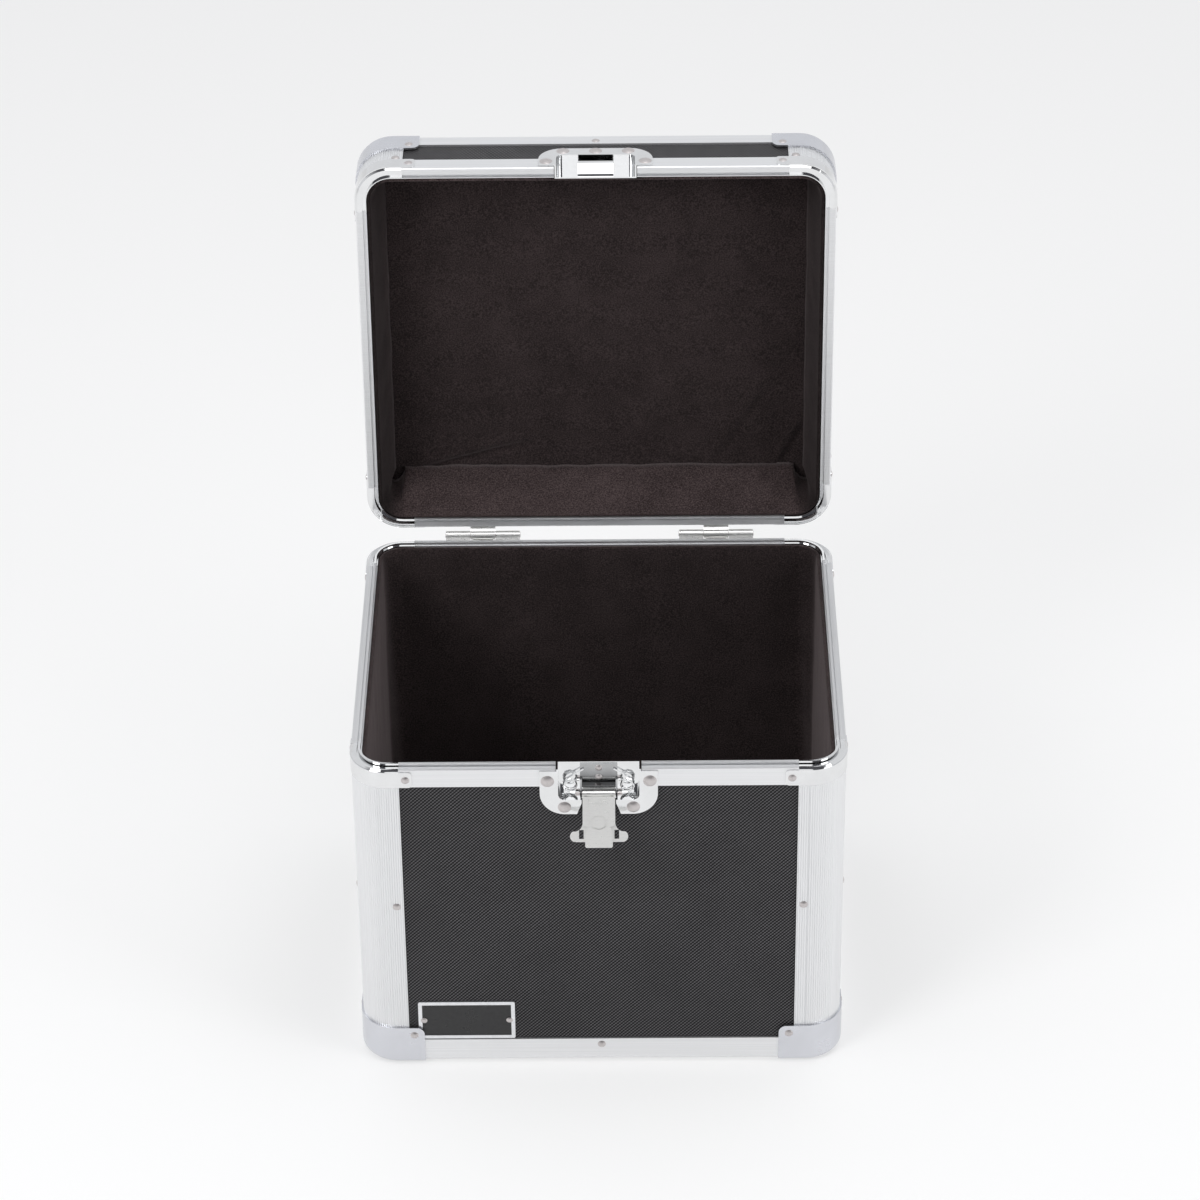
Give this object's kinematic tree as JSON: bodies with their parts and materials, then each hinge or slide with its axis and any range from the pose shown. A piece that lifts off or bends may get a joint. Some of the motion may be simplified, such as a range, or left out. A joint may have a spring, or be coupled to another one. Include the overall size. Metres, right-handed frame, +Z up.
{
  "type": "record carrying case",
  "caption": "Riveted aluminium and board carrying case for LP records with a hinged lid, recessed butterfly draw latch, stop hinges and a drop handle",
  "frame": {"origin": "on the ground under the middle of the body's footprint", "axes": "+X to the right seen from the latch side, +Y from the latch side to the hinge side, +Z up"},
  "size_m": [0.3802, 0.4492, 0.6143],
  "materials": {
    "laminate": "fine diagonal texture",
    "aluminium": "satin anodised",
    "chrome": "polished",
    "zinc": "dull",
    "velvet": "flocked",
    "grip": "matte"
  },
  "bodies": {
    "case": {"front_board": "laminate", "right_board": "laminate", "back_board": "laminate", "left_board": "laminate", "bottom_board": "laminate", "post_front_left": "aluminium", "post_front_right": "aluminium", "post_back_right": "aluminium", "post_back_left": "aluminium", "bottom_edge_front": "aluminium", "bottom_edge_right": "aluminium", "bottom_edge_back": "aluminium", "bottom_edge_left": "aluminium", "rim_front": "aluminium", "rim_right": "aluminium", "rim_back": "aluminium", "rim_left": "aluminium", "rim_corner_front_left": "chrome", "rim_corner_front_right": "chrome", "rim_corner_back_right": "chrome", "rim_corner_back_left": "chrome", "ball_corner_front_left": "aluminium", "ball_corner_front_right": "aluminium", "ball_corner_back_right": "aluminium", "ball_corner_back_left": "aluminium", "body_lining": "velvet", "floor_pad": "velvet", "body_rivets": "zinc", "name_plate": "aluminium", "latch_dish": "chrome", "latch_dish_rivets": "zinc", "latch_base": "chrome", "latch_rod": "zinc", "latch_spring_left": "chrome", "latch_spring_right": "chrome", "hinge_body_leaves": "zinc", "hinge_pins": "zinc"},
    "lid": {"hinge_lid_leaves": "zinc", "lid_front_board": "laminate", "lid_right_board": "laminate", "lid_back_board": "laminate", "lid_left_board": "laminate", "lid_top_board": "laminate", "lid_posts": "aluminium", "lid_edges": "aluminium", "lid_rim": "aluminium", "lid_rim_corners": "chrome", "lid_ball_corners": "aluminium", "lid_lining": "velvet", "lid_top_pad": "velvet", "lid_rivets": "zinc", "lid_dish": "chrome", "lid_dish_rivets": "zinc", "handle_brackets": "chrome"},
    "latch_arm": {"latch_arm": "chrome"},
    "latch_hook": {"latch_hook": "chrome"},
    "latch_butterfly": {"latch_butterfly": "chrome"},
    "handle": {"handle_arms": "chrome", "handle_grip": "grip"}
  },
  "joints": [
    {"name": "lid_hinge", "type": "hinge", "parent": "case", "child": "lid", "pos_m": [0, 0.1685, 0.2825], "axis": [1, 0, 0], "range_deg": [0, 92]},
    {"name": "latch_arm_hinge", "type": "hinge", "parent": "case", "child": "latch_arm", "pos_m": [0, -0.1628, 0.2615], "axis": [-1, 0, 0], "range_deg": [0, 142]},
    {"name": "butterfly_turn", "type": "hinge", "parent": "latch_arm", "child": "latch_butterfly", "pos_m": [0, -0.17567, 0.24503], "axis": [0, 0.788, -0.6157], "range_deg": [0, 180]},
    {"name": "hook_slide", "type": "slide", "parent": "latch_arm", "child": "latch_hook", "axis": [0, 0.6157, 0.788], "range_m": [0, 0.0026]},
    {"name": "handle_fold", "type": "hinge", "parent": "lid", "child": "handle", "pos_m": [0, 0.24696, 0.46637], "axis": [1, 0, 0], "range_deg": [0, 90]}
  ],
  "couplings": [
    {"joint": "hook_slide", "follows": "butterfly_turn", "m_per_rad": 0.000827}
  ]
}
